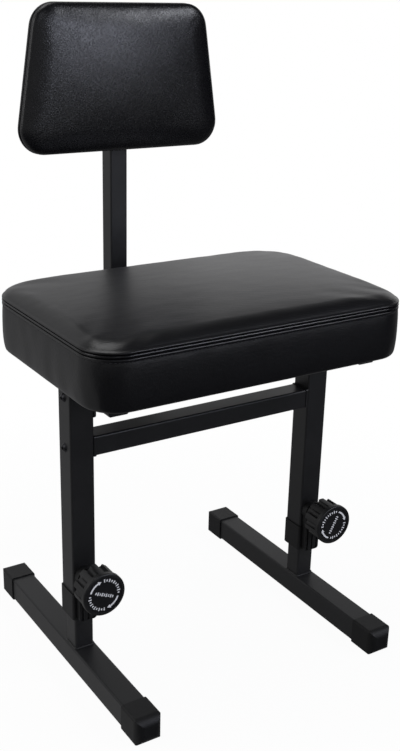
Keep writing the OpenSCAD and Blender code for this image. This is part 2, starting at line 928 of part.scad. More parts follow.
// The pad's solid, drawn in by a skin all round, with its back on the XY plane and its front up
module pad_form(skin) {
    side = [for (p = pad_profile) raise(pad_outline(p[0] + skin), max(p[1], skin > 0 ? hem_t : 0))];
    edge = welt_r / 4 + skin;
    shoulder = [for (a = shoulder_angles)
        raise(pad_outline(edge + pad_shoulder_w * (1 - cos(a))), pad_band - skin + pad_shoulder_t * sin(a))];
    top = pad_band + pad_shoulder_t - skin;
    middle = [0, pad_h / 2];
    crown = [for (k = crown_scale_shares)
        raise(shrink(pad_outline(edge + pad_shoulder_w), middle, k), top + pad_crown * (1 - k * k))];
    lofted(concat(side, shoulder, crown), middle, skin > 0 ? hem_t : 0, top + pad_crown);
}

module at_pad() {
    translate([0, pad_back, pad_z])
        rotate([90, 0, 0])
            children();
}

// The pad's outline as a flat shape with true arcs
module pad_flat(inset) {
    r = pad_round;
    lean = atan((pad_w_low - pad_w_top) / 2 / pad_h);
    low_x = pad_w_low / 2 - r * tan(lean) - r / cos(lean);
    top_x = pad_w_low / 2 - (pad_h - r) * tan(lean) - r / cos(lean);
    reach = r - inset;
    for (sx = [-1, 1]) {
        translate([sx * low_x, r])
            circle(reach);
        translate([sx * top_x, pad_h - r])
            circle(reach);
    }
    polygon([[-low_x, inset], [low_x, inset],
             [low_x + reach * cos(lean), r + reach * sin(lean)],
             [top_x + reach * cos(lean), pad_h - r + reach * sin(lean)],
             [top_x, pad_h - inset], [-top_x, pad_h - inset],
             [-top_x - reach * cos(lean), pad_h - r + reach * sin(lean)],
             [-low_x - reach * cos(lean), r + reach * sin(lean)]]);
}

module backrest_board() {
    color(plywood)
        difference() {
            at_pad()
                translate([0, 0, hem_t])
                    linear_extrude(pad_board_t)
                        pad_flat(board_inset);
            at_pad_screws(pad_back - hem_t - pad_board_t)
                tee_seat(screw_r, pad_board_t);
        }
}

module backrest_foam() {
    color(foam)
        at_pad()
            difference() {
                pad_form(cover_t + skin_gap);
                translate([-pad_w_low, -pad_h, -cut])
                    cube([2 * pad_w_low, 3 * pad_h, hem_t + pad_board_t + cut]);
            }
}

module backrest_cover() {
    color(leatherette)
        at_pad()
            difference() {
                pad_form(0);
                pad_form(cover_t);
                translate([0, 0, -cut])
                    linear_extrude(hem_t + 2 * cut)
                        pad_flat(pad_hem_w);
            }
}

module backrest_lining() {
    color(fabric)
        difference() {
            at_pad()
                linear_extrude(hem_t)
                    pad_flat(pad_hem_w + skin_gap);
            at_pad_screws(pad_back + cut)
                cylinder(r = screw_r + hole_gap, h = hem_t + 2 * cut);
        }
}

module backrest_screws() {
    color(zinc)
        at_pad_screws(post_y + post_w / 2)
            domed_screw(screw_r, post_w + hem_t + pad_board_t, head_d, head_h);
}

module backrest_tee_nuts() {
    color(zinc)
        at_pad_screws(pad_back - hem_t - pad_board_t)
            tee_nut(screw_r, pad_board_t - tee_flange_t);
}

// Clamp screws and knobs

// Puts the axis of a clamp screw on +Z, forward of the middle of its upright
module at_clamp(side) {
    translate([side * side_x, upright_y, screw_z])
        rotate([90, 0, 0])
            children();
}

module clamp_screw(side) {
    color(zinc)
        at_clamp(side)
            translate([0, 0, clamp_tip])
                cylinder(r = clamp_r, h = clamp_end - clamp_tip);
}

// Hub, fluted lobes and front rim, hollow for the bush and the disc
module knob(side) {
    rim_r = knob_d / 2;
    lobe_r = lobe_d / 2;
    color(plastic)
        at_clamp(side)
            difference() {
                union() {
                    rotate_extrude()
                        polygon([[0, hub_back], [hub_r, hub_back], [hub_r, hub_back + hub_len / 3],
                                 [lobe_r - 2 * flute_r, lobe_back], [lobe_r - 2 * flute_r, rim_back],
                                 [rim_r - knob_rim_round / 2, rim_back],
                                 [rim_r, rim_back + knob_rim_round / 2], [rim_r, knob_face - knob_rim_round],
                                 [0, knob_face - knob_rim_round]]);
                    translate([0, 0, knob_face - knob_rim_round])
                        rotate_extrude()
                            difference() {
                                union() {
                                    square([rim_r - knob_rim_round, knob_rim_round]);
                                    translate([rim_r - knob_rim_round, 0])
                                        circle(knob_rim_round);
                                }
                                translate([0, -2 * knob_rim_round])
                                    square([rim_r, 2 * knob_rim_round]);
                            }
                    translate([0, 0, rim_back])
                        cylinder(r = rim_r - knob_rim_round, h = knob_rim_t);
                    translate([0, 0, lobe_back])
                        linear_extrude(lobe_len)
                            difference() {
                                circle(lobe_r);
                                for (k = [0 : lobe_count - 1])
                                    rotate(k * 360 / lobe_count)
                                        translate([lobe_r, 0])
                                            circle(flute_r);
                            }
                }
                translate([0, 0, hub_back - cut])
                    cylinder(r = bush_r, h = bush_len + cut);
                translate([0, 0, disc_back])
                    cylinder(d = disc_d, h = disc_t + disc_sink + cut);
            }
}

module knob_bush(side) {
    color("#b59a4a")
        at_clamp(side)
            translate([0, 0, hub_back])
                difference() {
                    cylinder(r = bush_r, h = bush_len);
                    translate([0, 0, -cut])
                        cylinder(r = clamp_r + thread_gap, h = bush_len + 2 * cut);
                }
}

module knob_disc(side) {
    color(fabric)
        at_clamp(side)
            translate([0, 0, disc_back])
                cylinder(d = disc_d, h = disc_t);
}

foot_tube(-1);  // left_foot_tube
foot_cap(-1, -1);  // left_foot_cap_front
foot_cap(-1, 1);  // left_foot_cap_rear
inner_post(-1);  // left_inner_post
glide(-1);  // left_glide
foot_tube(1);  // right_foot_tube
foot_cap(1, -1);  // right_foot_cap_front
foot_cap(1, 1);  // right_foot_cap_rear
inner_post(1);  // right_inner_post
glide(1);  // right_glide
upright(-1);  // left_upright
upright(1);  // right_upright
collar(-1);  // left_collar
collar(1);  // right_collar
weld_nuts();
crossbar();
crossbar_flanges();
crossbar_screws();
bracket(-1);  // left_bracket
bracket(1);  // right_bracket
bracket_screws();
bracket_nuts();
seat_rail(-1);  // left_seat_rail
seat_rail(1);  // right_seat_rail
rail_plugs();
rail_screws();
seat_board();
seat_foam();
seat_cover();
seat_underlining();
seat_tee_nuts();
backrest_arm();
arm_plug();
arm_screws();
backrest_post();
post_plugs();
backrest_board();
backrest_foam();
backrest_cover();
backrest_lining();
backrest_screws();
backrest_tee_nuts();
clamp_screw(-1);  // left_clamp_screw
knob(-1);  // left_knob
knob_bush(-1);  // left_knob_bush
knob_disc(-1);  // left_knob_disc
clamp_screw(1);  // right_clamp_screw
knob(1);  // right_knob
knob_bush(1);  // right_knob_bush
knob_disc(1);  // right_knob_disc
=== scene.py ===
# %% [markdown]
# # A keyboard bench, dressed for its photograph
# The bench stands on two T-shaped legs of square steel tube. Its frame was built as exact solids, and this lesson
# keeps them: it only gives them finishes. What a solid can't show is made here: the two upholstered cushions with
# their piping, stitches and staples, the weld beads, and the printed marks on the knobs.
# The first step loads the imported solids as a fixed frame, in metres, and defines how to measure a part's box.

# %% Load the frame
import json
import math

import bpy
import numpy as np
from mathutils import Matrix, Vector


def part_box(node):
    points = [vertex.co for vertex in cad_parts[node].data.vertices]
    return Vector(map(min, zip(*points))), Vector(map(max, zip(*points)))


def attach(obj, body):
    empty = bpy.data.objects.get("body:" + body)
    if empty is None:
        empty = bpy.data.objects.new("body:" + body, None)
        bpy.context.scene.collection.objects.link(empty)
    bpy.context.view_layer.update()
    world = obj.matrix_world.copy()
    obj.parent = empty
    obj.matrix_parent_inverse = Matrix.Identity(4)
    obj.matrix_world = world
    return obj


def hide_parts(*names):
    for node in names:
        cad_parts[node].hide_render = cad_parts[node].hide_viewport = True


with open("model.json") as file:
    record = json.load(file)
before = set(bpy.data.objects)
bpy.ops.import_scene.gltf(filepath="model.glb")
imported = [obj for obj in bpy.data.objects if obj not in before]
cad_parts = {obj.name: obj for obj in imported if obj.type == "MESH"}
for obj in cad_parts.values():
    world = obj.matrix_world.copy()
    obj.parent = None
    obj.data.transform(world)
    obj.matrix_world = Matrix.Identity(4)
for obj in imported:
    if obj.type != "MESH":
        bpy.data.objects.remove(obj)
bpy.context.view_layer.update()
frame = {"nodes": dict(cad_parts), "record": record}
MM = 0.001

# %% [markdown]
# ## Helpers for meshes
# Every new piece is worked out as whole arrays of points. A piece's object stays at the origin and its place is in
# its mesh, as with the solids, so a pattern that follows the object's own coordinates stays where it is.

# %% Put arrays into a mesh


def make_piece(name, points, faces, body, material, replaces=()):
    """Makes one smooth mesh object from an (n, 3) array of points in metres and a list of arrays of faces."""
    mesh = bpy.data.meshes.new(name)
    corners = [tuple(face) for part in faces for face in np.asarray(part).tolist()]
    mesh.from_pydata(np.asarray(points).tolist(), [], corners)
    mesh.validate()
    mesh.shade_smooth()
    piece = bpy.data.objects.new(name, mesh)
    bpy.context.scene.collection.objects.link(piece)
    mesh.materials.append(material)
    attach(piece, body)
    if replaces:
        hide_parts(*replaces)
    print(f"{name}: {len(mesh.vertices)} points, {len(mesh.polygons)} faces")
    return piece


def ring_quads(rings, count, closed_rings=False):
    """Quads between neighbouring rings of count points, ring after ring: (i, i+1, i+1 of the next ring, i of it)."""
    here = np.arange(rings if closed_rings else rings - 1)[:, None]
    around = np.arange(count)[None]
    onward = (around + 1) % count
    above = (here + 1) % rings
    quads = [here * count + around, here * count + onward, above * count + onward, above * count + around]
    return np.stack(quads, axis=-1).reshape(-1, 4)


def copies(shape, faces, frames):
    """Lays copies of a small closed shape: each point is origin + x side + y up + z out, with one frame a copy."""
    origin, side, up, out = frames
    x, y, z = shape[None, :, :1], shape[None, :, 1:2], shape[None, :, 2:]
    points = origin[:, None] + x * side[:, None] + y * up[:, None] + z * out[:, None]
    shifts = np.arange(len(origin))[:, None, None] * len(shape)
    return points.reshape(-1, 3), (faces[None] + shifts).reshape(-1, faces.shape[1])


def waves(points, seed, length, count=28, lean=(1, 1, 1)):
    """Soft random relief: a sum of cosine waves in random directions with lengths near the one given, about -1 to 1.
    lean stretches the pattern: a share below 1 makes the waves longer along that axis."""
    rng = np.random.default_rng(seed)
    heading = rng.normal(size=(count, 3))
    heading /= np.linalg.norm(heading, axis=1)[:, None]
    turns = 2 * math.pi / (length * rng.uniform(0.7, 1.5, count))
    phase = rng.uniform(0, 2 * math.pi, count)
    angle = (points * np.asarray(lean)) @ (heading * turns[:, None]).T + phase
    return np.cos(angle).sum(axis=-1) / math.sqrt(2 * count)


# %% [markdown]
# ## Helpers for materials
# Colours are written as they look on a screen and turned to linear light by one function. One small function adds a
# node with its settings and links.

# %% Colours and nodes


def linear(hex_colour):
    """Undoes the screen's curve: a low value is divided by 12.92, a higher one is ((v + 0.055) / 1.055) ** 2.4."""
    values = [int(hex_colour[k:k + 2], 16) / 255 for k in (1, 3, 5)]
    return tuple(v / 12.92 if v <= 0.04045 else ((v + 0.055) / 1.055) ** 2.4 for v in values) + (1.0,)


def add_node(tree, kind, inputs=None, **settings):
    """Adds a node, sets its properties, and fills its inputs with plain values or other nodes' outputs. A node given
    as a value stands for its first output."""
    node = tree.nodes.new(kind)
    for name, value in settings.items():
        setattr(node, name, value)
    for name, value in (inputs or {}).items():
        socket = node.inputs[name]
        if isinstance(value, bpy.types.Node):
            value = value.outputs[0]
        if isinstance(value, bpy.types.NodeSocket):
            tree.links.new(value, socket)
        else:
            socket.default_value = value
    return node


def start_material(name):
    """A new material that holds only the object's own coordinates, for its patterns."""
    material = bpy.data.materials.new(name)
    material.use_nodes = True
    material.node_tree.nodes.clear()
    place = add_node(material.node_tree, "ShaderNodeTexCoord").outputs["Object"]
    return material, material.node_tree, place


def finish_material(material, bumps, colours, roughness, **shader):
    """Adds the shader. colours is (share, dark, light): a mix of two screen colours by another node's output from 0
    to 1. roughness is a number, or (share, low, high) in the same way. Each bump of the relief is (height,
    strength, distance in metres), coarse first."""
    tree = material.node_tree
    share, dark, light = colours
    mix = add_node(tree, "ShaderNodeMix", {"Factor": share, 6: linear(dark), 7: linear(light)}, data_type="RGBA")
    inputs = {name.replace("_", " "): value for name, value in shader.items()}
    inputs["Base Color"] = mix.outputs[2]
    if isinstance(roughness, tuple):
        share, low, high = roughness
        roughness = add_node(tree, "ShaderNodeMapRange", {"Value": share, "To Min": low, "To Max": high})
    inputs["Roughness"] = roughness
    for height, strength, distance in bumps:
        relief = {"Height": height, "Strength": strength, "Distance": distance}
        if "Normal" in inputs:
            relief["Normal"] = inputs["Normal"]
        inputs["Normal"] = add_node(tree, "ShaderNodeBump", relief)
    surface = add_node(tree, "ShaderNodeBsdfPrincipled", inputs)
    add_node(tree, "ShaderNodeOutputMaterial", {"Surface": surface})
    return material


# %% [markdown]
# ## Powder-coated steel
# The tubes are mild steel with a baked black polyester powder. Powder melts into a skin with a faint orange peel,
# about 2 mm from crest to crest, and a satin gloss that varies a little where the coat is thicker.

# %% Powder coat


def powder_coated_steel():
    material, tree, place = start_material("powder_coated_steel")
    peel = add_node(tree, "ShaderNodeTexNoise", {"Vector": place, "Scale": 480.0, "Detail": 2.0})
    patch = add_node(tree, "ShaderNodeTexNoise", {"Vector": place, "Scale": 22.0, "Detail": 3.0})
    return finish_material(
        material, [(peel, 0.30, 0.1 * MM)], (patch, "#151516", "#1f1f20"), (patch, 0.36, 0.46),
        IOR=1.5, Specular_IOR_Level=0.5)


# %% [markdown]
# ## Moulded plastics
# The caps, collars and plugs are black polypropylene from a spark-eroded mould: a fine matt grain. The knobs are a
# harder glass-filled nylon with the same grain, a touch smoother where hands have rubbed the lobes.

# %% Plastics


def spark_grained_polypropylene():
    material, tree, place = start_material("spark_grained_polypropylene")
    # the real grain is about 0.1 mm and is drawn at 0.7 mm, so that it shows
    grain = add_node(tree, "ShaderNodeTexNoise", {"Vector": place, "Scale": 1400.0, "Detail": 2.0})
    scuff = add_node(tree, "ShaderNodeTexNoise", {"Vector": place, "Scale": 45.0, "Detail": 4.0})
    return finish_material(
        material, [(grain, 0.35, 0.12 * MM)], (scuff, "#0c0c0d", "#151516"), (scuff, 0.46, 0.58),
        IOR=1.49, Specular_IOR_Level=0.4)


def glass_filled_nylon():
    material, tree, place = start_material("glass_filled_nylon")
    grain = add_node(tree, "ShaderNodeTexNoise", {"Vector": place, "Scale": 1100.0, "Detail": 2.0})
    rubbed = add_node(tree, "ShaderNodeTexNoise", {"Vector": place, "Scale": 60.0, "Detail": 3.0})
    return finish_material(
        material, [(grain, 0.30, 0.12 * MM)], (rubbed, "#0f0f10", "#181819"), (rubbed, 0.38, 0.52),
        IOR=1.53, Specular_IOR_Level=0.5)


def printed_polycarbonate():
    material, tree, place = start_material("printed_polycarbonate")
    haze = add_node(tree, "ShaderNodeTexNoise", {"Vector": place, "Scale": 160.0, "Detail": 3.0})
    return finish_material(
        material, [(haze, 0.10, 0.1 * MM)], (haze, "#0d0d10", "#151519"), (haze, 0.30, 0.40),
        IOR=1.58, Specular_IOR_Level=0.5)


def white_screen_ink():
    material, tree, place = start_material("white_screen_ink")
    cover = add_node(tree, "ShaderNodeTexNoise", {"Vector": place, "Scale": 900.0, "Detail": 3.0})
    return finish_material(material, [(cover, 0.15, 0.05 * MM)], (cover, "#d2d2d4", "#efeff0"), 0.55)


# %% [markdown]
# ## Leatherette
# Both cushions are covered in PVC leatherette: a black vinyl skin embossed with an irregular pebble grain on a
# knitted backing. The eye reads it by the broken highlight. A cell pattern gives the pebbles with fine creases
# between them, and finer noises give the pores and the uneven gloss. The seat's skin is pulled tighter: its grain is
# flatter, and fine stretch lines run across it. Round the piping cord it is all but smooth.

# %% Leatherette


def pvc_leatherette(name, grain, rough, gloss_spread, lines):
    """grain and lines are the strengths of the pebbles' and the stretch lines' relief."""
    material, tree, place = start_material(name)
    bend = add_node(tree, "ShaderNodeTexNoise", {"Vector": place, "Scale": 260.0, "Detail": 2.0}).outputs["Color"]
    bent = add_node(tree, "ShaderNodeVectorMath", {0: bend, 1: (0.0016, 0.0016, 0.0016)}, operation="MULTIPLY")
    moved = add_node(tree, "ShaderNodeVectorMath", {0: place, 1: bent}, operation="ADD")
    # the real pebbles are about 1.2 mm and are drawn at 2.4 mm, so that they show
    edges = add_node(tree, "ShaderNodeTexVoronoi", {"Vector": moved, "Scale": 420.0}, feature="DISTANCE_TO_EDGE")
    pebble = add_node(tree, "ShaderNodeMapRange", {"Value": edges, "From Max": 0.30}, interpolation_type="SMOOTHSTEP")
    gloss = add_node(tree, "ShaderNodeTexNoise", {"Vector": place, "Scale": 420.0, "Detail": 2.0})
    pores = add_node(tree, "ShaderNodeTexNoise", {"Vector": place, "Scale": 1500.0, "Detail": 3.0})
    # stretch lines, about 16 mm long and 2.5 mm apart
    along = add_node(tree, "ShaderNodeMapping", {"Vector": place, "Rotation": (0, 0, -0.35),
                                                 "Scale": (0.016, 0.0026, 0.0034)}, vector_type="TEXTURE")
    stretch = add_node(tree, "ShaderNodeTexNoise", {"Vector": along, "Scale": 1.0, "Detail": 4.0})
    patch = add_node(tree, "ShaderNodeTexNoise", {"Vector": place, "Scale": 14.0, "Detail": 4.0})
    return finish_material(
        material, [(stretch, lines, 0.35 * MM), (pebble, grain, 0.22 * MM), (pores, 0.20, 0.12 * MM)],
        (patch, "#08080a", "#101013"), (gloss, rough - gloss_spread, rough + gloss_spread),
        IOR=1.5, Specular_IOR_Level=0.5)


# %% [markdown]
# ## Hidden and small finishes
# Under the seat there are a non-woven dust cloth, the edge of a birch plywood board, black oxide and zinc-plated
# fasteners, staples and a brass bush in each knob. The foam has open cells, and the stitches are thread.

# %% Small finishes


def spunbond_dust_cloth():
    material, tree, place = start_material("spunbond_dust_cloth")
    stretch = add_node(tree, "ShaderNodeMapping", {"Vector": place, "Scale": (300.0, 900.0, 600.0)})
    fibre = add_node(tree, "ShaderNodeTexNoise", {"Vector": stretch, "Scale": 1.0, "Detail": 6.0})
    dots = add_node(tree, "ShaderNodeTexVoronoi", {"Vector": place, "Scale": 480.0})
    return finish_material(
        material, [(dots, 0.30, 0.15 * MM), (fibre, 0.30, 0.10 * MM)], (fibre, "#141414", "#2a2a2a"), 0.92,
        Specular_IOR_Level=0.2)


def birch_plywood():
    material, tree, place = start_material("birch_plywood")
    long = add_node(tree, "ShaderNodeMapping", {"Vector": place, "Scale": (8.0, 220.0, 700.0)})
    figure = add_node(tree, "ShaderNodeTexNoise", {"Vector": long, "Scale": 1.0, "Detail": 6.0})
    return finish_material(material, [(figure, 0.25, 0.15 * MM)], (figure, "#a5814f", "#d8bd8d"), 0.7)


def polyurethane_foam():
    material, tree, place = start_material("polyurethane_foam")
    cells = add_node(tree, "ShaderNodeTexVoronoi", {"Vector": place, "Scale": 900.0})
    return finish_material(material, [(cells, 0.6, 0.4 * MM)], (cells, "#c9b983", "#e6dcb4"), 0.95)


def plated_metal(name, dark, light, low, high):
    """A drawn or turned metal: fine lines and a plating that varies a little in gloss."""
    material, tree, place = start_material(name)
    lines = add_node(tree, "ShaderNodeTexNoise", {"Vector": place, "Scale": 700.0, "Detail": 4.0})
    return finish_material(
        material, [(lines, 0.12, 0.05 * MM)], (lines, dark, light), (lines, low, high), Metallic=1.0)


def polyester_thread():
    material, tree, place = start_material("polyester_thread")
    twist = add_node(tree, "ShaderNodeTexWave", {"Vector": place, "Scale": 900.0, "Distortion": 1.0}).outputs["Fac"]
    return finish_material(material, [(twist, 0.4, 0.1 * MM)], (twist, "#1b1b1d", "#2b2b2e"), 0.5)


# %% [markdown]
# ## A finish for every solid
# Each solid takes the finish of the material slot that the record gives it. Only the two knobs differ from the other
# mouldings in their slot.

# %% Give the finishes out
steel_coat = powder_coated_steel()
leatherette = pvc_leatherette("pvc_leatherette", grain=0.14, rough=0.33, gloss_spread=0.03, lines=0.45)
pad_leatherette = pvc_leatherette("pebbled_pvc_leatherette", grain=0.30, rough=0.27, gloss_spread=0.08, lines=0.10)
piping_leatherette = pvc_leatherette("pvc_leatherette_piping", grain=0.04, rough=0.22, gloss_spread=0.02, lines=0.0)
knob_ink = white_screen_ink()
thread = polyester_thread()
finishes = {
    "frame_steel": steel_coat,
    "moulded_plastic": spark_grained_polypropylene(),
    "leatherette": leatherette,
    "black_fabric": spunbond_dust_cloth(),
    "plywood": birch_plywood(),
    "foam": polyurethane_foam(),
    "zinc_steel": plated_metal("zinc_plated_steel", "#9a9da1", "#c4c6c9", 0.30, 0.42),
    "black_screws": plated_metal("black_oxide_steel", "#2c2c2e", "#424245", 0.30, 0.42),
    "brass_bush": plated_metal("turned_brass", "#a98840", "#cbab62", 0.25, 0.40),
    "disc_plastic": printed_polycarbonate(),
}
knob_plastic = glass_filled_nylon()
slots = {row["node"]: row["material_slot"] for row in frame["record"]["subparts"]}
for node, solid in frame["nodes"].items():
    solid.data.materials.clear()
    solid.data.materials.append(knob_plastic if node in ("left_knob", "right_knob") else finishes[slots[node]])
print("finishes:", len(finishes), "for the slots, given to", len(frame["nodes"]), "nodes")

# %% [markdown]
# ## The outline of a cushion
# Seen from above the seat is a rectangle with four round corners, the back ones larger. Seen from the front the
# backrest is a trapezium. Both are walked in the same way: four arcs joined by straight edges. The walk starts in
# the middle of a corner, because a grid of quads closes each panel, and a grid's corners lie best there.

# %% Walk an outline


def walk_outline(corners, counts):
    """Corners are (x, y, radius, start angle, end angle), anticlockwise, in metres and degrees. A corner's points are
    centre + radius (cos a, sin a). From the middle of one corner to the middle of the next the walk is cut into
    counts steps of equal length. Returns the places and the outward directions, (cos a, sin a), as (n, 2) arrays."""
    steps = 32
    turn = np.array([360 if k == 4 else 0 for k in range(5)])
    x, y, radius, start, end = np.array([corners[k % 4] for k in range(5)]).T
    share = np.linspace(0, 1, steps + 1)
    angle = np.radians(start[:, None] + turn[:, None] + (end - start)[:, None] * share)
    across = (x[:, None] + radius[:, None] * np.cos(angle)).ravel()
    along = (y[:, None] + radius[:, None] * np.sin(angle)).ravel()
    run = np.concatenate([[0], np.cumsum(np.hypot(np.diff(across), np.diff(along)))])
    middles = run[np.arange(5) * (steps + 1) + steps // 2]
    stops = np.concatenate([np.linspace(middles[k], middles[k + 1], counts[k] + 1)[:-1] for k in range(4)])
    place = np.stack([np.interp(stops, run, across), np.interp(stops, run, along)], axis=1)
    heading = np.interp(stops, run, angle.ravel())
    return place, np.stack([np.cos(heading), np.sin(heading)], axis=1)


def panel_grid(ring, count_x, count_y, first):
    """Closes a ring of 2 (count_x + count_y) points with a grid, as a Coons patch. With s and t from 0 to 1, a point
    is (1 - t) front + t back + (1 - s) left + s right, less the same mix of the four corners, which would otherwise
    count twice. Returns the inner points and the faces; first is the ring's first index."""
    total = 2 * (count_x + count_y)
    closed = np.concatenate([ring, ring[:1]])
    front, right = closed[:count_x + 1], closed[count_x:count_x + count_y + 1]
    back, left = closed[count_x + count_y:total - count_y + 1][::-1], closed[total - count_y:][::-1]
    s = (np.arange(1, count_x) / count_x)[None, :, None]
    t = (np.arange(1, count_y) / count_y)[:, None, None]
    sides = (1 - t) * front[None, 1:-1] + t * back[None, 1:-1] + (1 - s) * left[1:-1, None] + s * right[1:-1, None]
    corners = (1 - t) * ((1 - s) * front[0] + s * front[-1]) + t * ((1 - s) * back[0] + s * back[-1])
    inner = (sides - corners).reshape(-1, 3)
    index = np.zeros((count_y + 1, count_x + 1), int)
    index[0, :] = first + np.arange(count_x + 1)
    index[:, count_x] = first + count_x + np.arange(count_y + 1)
    index[count_y, ::-1] = first + count_x + count_y + np.arange(count_x + 1)
    index[::-1, 0] = first + (2 * count_x + count_y + np.arange(count_y + 1)) % total
    index[1:-1, 1:-1] = -1 - np.arange((count_x - 1) * (count_y - 1)).reshape(count_y - 1, count_x - 1)
    faces = np.stack([index[:-1, :-1], index[:-1, 1:], index[1:, 1:], index[1:, :-1]], axis=-1).reshape(-1, 4)
    return inner, faces


def closed_cushion(place, out, profile, count_x, count_y):
    """A skin of rings, one for each (inset, height) of the profile, closed below and above by panel grids.
    Returns the points, the faces and how many points belong to the rings."""
    count = len(place)
    inset, height = profile[:, 0], profile[:, 1]
    flat = place[None] - inset[:, None, None] * out[None]
    rings = np.concatenate([flat, np.broadcast_to(height[:, None, None], flat.shape[:2] + (1,))], axis=2)
    last = (len(profile) - 1) * count
    below, below_faces = panel_grid(rings[0], count_x, count_y, 0)
    above, above_faces = panel_grid(rings[-1], count_x, count_y, last)
    points = np.concatenate([rings.reshape(-1, 3), below, above])
    base = len(profile) * count
    below_faces = np.where(below_faces < 0, base - 1 - below_faces, below_faces)[:, ::-1]
    above_faces = np.where(above_faces < 0, base + len(below) - 1 - above_faces, above_faces)
    return points, [ring_quads(len(profile), count), below_faces, above_faces], base


# %% [markdown]
# ## Foam under the skin
# A cover is sewn a little smaller than its foam, so it swells between the seams. Cloth simulation does the same: the
# seams and the hem are held, pressure pushes from inside, and the foam keeps each point near its place.

# %% Swell a cover


def swell(piece, held, pressure=1.2, reach=1.4 * MM, frames=16):
    """Runs Blender's cloth on the piece with the held points pinned. The foam gives back most of each move d, so the
    cover keeps reach tanh(d / (4 reach)) of it."""
    before = np.empty(len(piece.data.vertices) * 3)
    after = np.empty_like(before)
    piece.data.vertices.foreach_get("co", before)
    sewn = piece.vertex_groups.new(name="sewn")
    sewn.add([int(k) for k in held], 1.0, "REPLACE")
    foam = piece.modifiers.new("foam", "CLOTH")
    skin = {"quality": 5, "mass": 0.25, "tension_stiffness": 30, "compression_stiffness": 30, "shear_stiffness": 12,
            "bending_stiffness": 12, "vertex_group_mass": "sewn", "use_pressure": True,
            "uniform_pressure_force": pressure}
    for name, value in skin.items():
        setattr(foam.settings, name, value)
    foam.settings.effector_weights.gravity = 0
    foam.collision_settings.use_collision = False
    foam.point_cache.frame_end = frames
    for step in range(1, frames + 1):
        bpy.context.scene.frame_set(step)
    shown = piece.evaluated_get(bpy.context.evaluated_depsgraph_get())
    shown.data.vertices.foreach_get("co", after)
    bpy.context.scene.frame_set(1)
    piece.modifiers.remove(foam)
    piece.vertex_groups.remove(sewn)
    move = (after - before).reshape(-1, 3)
    far = np.linalg.norm(move, axis=1)
    move *= (reach * np.tanh(far / (4 * reach)) / np.maximum(far, 1e-9))[:, None]
    piece.data.vertices.foreach_set("co", before + move.ravel())
    piece.data.update()
    print(f"{piece.name}: swelled by up to {np.linalg.norm(move, axis=1).max() / MM:.1f} mm")


def round_off(piece, levels=1):
    """Smooths a piece with a subdivision surface, the same in the view and in the render."""
    rounder = piece.modifiers.new("round", "SUBSURF")
    rounder.levels = levels
    rounder.render_levels = levels


# %% [markdown]
# ## The seat's section
# The seat is a block of foam on a board. Its cover is a top panel and a side band, sewn together with piping
# between them, pulled under the board and stapled. In section it goes from the hem, round the lower edge, up a side
# that pulls in under the seam, over the roll of the side band, into the groove that holds the piping, over the roll
# of the top panel, and round a soft shoulder to a nearly flat crown.

# %% Seat section
seat_low, seat_high = np.array(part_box("seat_cover"))
board_low, board_high = np.array(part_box("seat_board"))
half_w, half_d = (seat_high - seat_low)[:2] / 2
seat_middle = (seat_high + seat_low) / 2
front_round, back_round = 44 * MM, 51 * MM
piping_height, roll_top, shoulder_width = 65 * MM, 71 * MM, 23 * MM
crown_rise = 7 * MM
seat_steps = (84, 60)  # faces of the top panel across and along
fx, fy = half_w - front_round, half_d - front_round
bx, by = half_w - back_round, half_d - back_round
seat_corners = [(-fx, -fy, front_round, 180, 270), (fx, -fy, front_round, 270, 360),
                (bx, by, back_round, 360, 450), (-bx, by, back_round, 450, 540)]
seat_place, seat_out = walk_outline(seat_corners, seat_steps * 2)
board_inset = board_low[0] - seat_low[0] - 0.4 * MM
board_top = board_high[2] - seat_low[2] + 0.1 * MM
hem_top = board_low[2] - seat_low[2]
hem_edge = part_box("seat_underlining")[0][0] - seat_low[0] - 0.3 * MM


def shoulder_profile(start, width, bottom, top, count):
    """A rounded edge, fuller than a circle: inset = start + (width - start) (1 - cos a)**1.1 and
    height = bottom + (top - bottom) sin(a)**0.85, for a from 0 to 90 degrees."""
    angle = np.linspace(0, math.pi / 2, count)
    inset = start + (width - start) * (1 - np.cos(angle)) ** 1.1
    return np.stack([inset, bottom + (top - bottom) * np.sin(angle) ** 0.85], axis=1)


def sloping_profile(start, width, bottom, top, count):
    """A shoulder that leaves the seam at a slope: height = bottom + (top - bottom) (1 - (1 - s)**2.3), where s is the
    share of the way from start to width. Also returns the heights that shoulder_profile has at the same insets,
    where a = arccos(1 - s**0.91)."""
    share = np.linspace(0, 1, count) ** 1.2
    full = bottom + (top - bottom) * np.sin(np.arccos(1 - share ** 0.91)) ** 0.85
    slope = bottom + (top - bottom) * (1 - (1 - share) ** 2.3)
    return np.stack([start + (width - start) * share, slope], axis=1), full


seat_top = seat_high[2] - seat_low[2] - crown_rise
slope_rings, full_heights = sloping_profile(1.8 * MM, shoulder_width, 70.9 * MM, seat_top, 15)
side_shares = np.array([  # inset and height in millimetres, from the hem up to the roll above the piping
    [6.0, 0.0], [3.4, 0.3], [1.7, 1.4], [0.6, 3.2], [-0.1, 6.0], [-0.7, 10.5], [-1.1, 17.0], [-1.3, 25.0],
    [-1.3, 34.0], [-1.2, 43.0], [-0.9, 50.0], [-0.6, 54.5], [-0.2, 57.4], [0.0, 58.6], [-0.4, 59.4], [-0.8, 60.2],
    [-0.9, 61.0], [-0.6, 61.8], [0.4, 62.5], [2.1, 62.8], [3.5, 63.4], [3.8, 65.0], [3.5, 66.6], [2.1, 67.2],
    [0.4, 67.4], [-0.5, 67.9], [-0.8, 68.8], [-0.4, 69.7], [0.6, 70.3]]) * MM
seat_profile = np.concatenate([
    [[board_inset, board_top], [board_inset, hem_top + 0.05 * MM], [hem_edge, hem_top + 0.05 * MM],
     [hem_edge + 0.4 * MM, 0.6 * MM], [hem_edge, 0], [18 * MM, 0], [11 * MM, 0]],
    side_shares,
    slope_rings])
